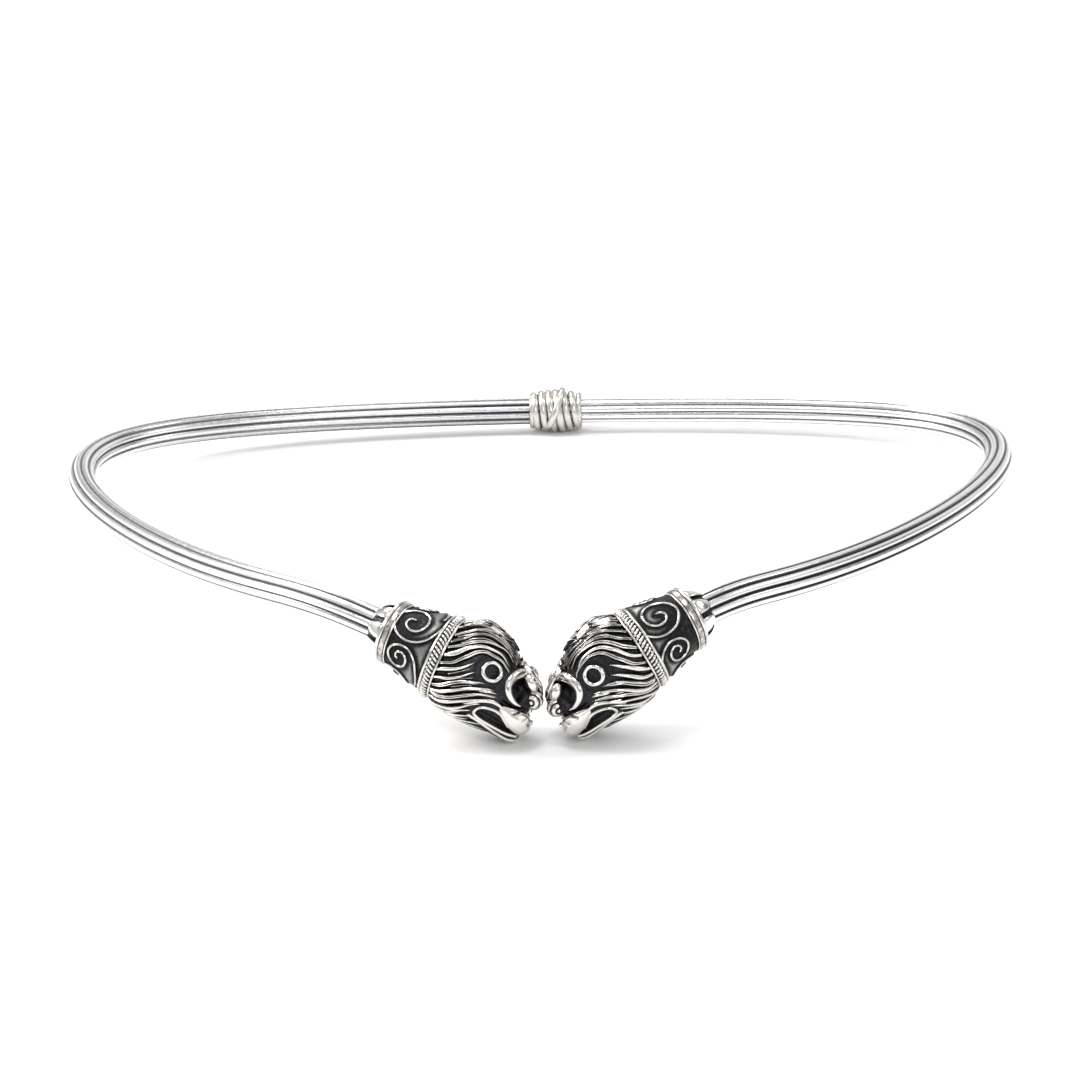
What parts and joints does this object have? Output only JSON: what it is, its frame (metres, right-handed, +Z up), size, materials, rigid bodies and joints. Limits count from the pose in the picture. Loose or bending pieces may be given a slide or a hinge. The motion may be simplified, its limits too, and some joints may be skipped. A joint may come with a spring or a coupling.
{
  "type": "open torque necklace with lion head terminals",
  "caption": "Open rigid silver torque necklace: fluted tube arms bound at the back, ending in petal cups, scroll collars and lion heads that meet in front.",
  "frame": {"origin": "on the ground under the middle of the bounding box", "axes": "+Z up, +X to the right as seen from the heads, +Y from the heads to the back binding"},
  "size_m": [0.137, 0.1274, 0.0178],
  "materials": {
    "fluted_tube": "polished silver, dark in the grooves",
    "petal_cup": "bright polished silver",
    "scroll_collar": "oxidised silver with bright wires",
    "lion_head": "silver, polished on the relief and black in the hollows",
    "back_post": "plain silver",
    "back_binding": "satin silver"
  },
  "bodies": {
    "root": {"arm_right": "fluted_tube", "arm_left": "fluted_tube", "petal_cup_right": "petal_cup", "petal_cup_left": "petal_cup", "scroll_collar_right": "scroll_collar", "scroll_collar_left": "scroll_collar", "lion_head_right": "lion_head", "lion_head_left": "lion_head", "back_post": "back_post", "back_binding": "back_binding"}
  },
  "joints": []
}
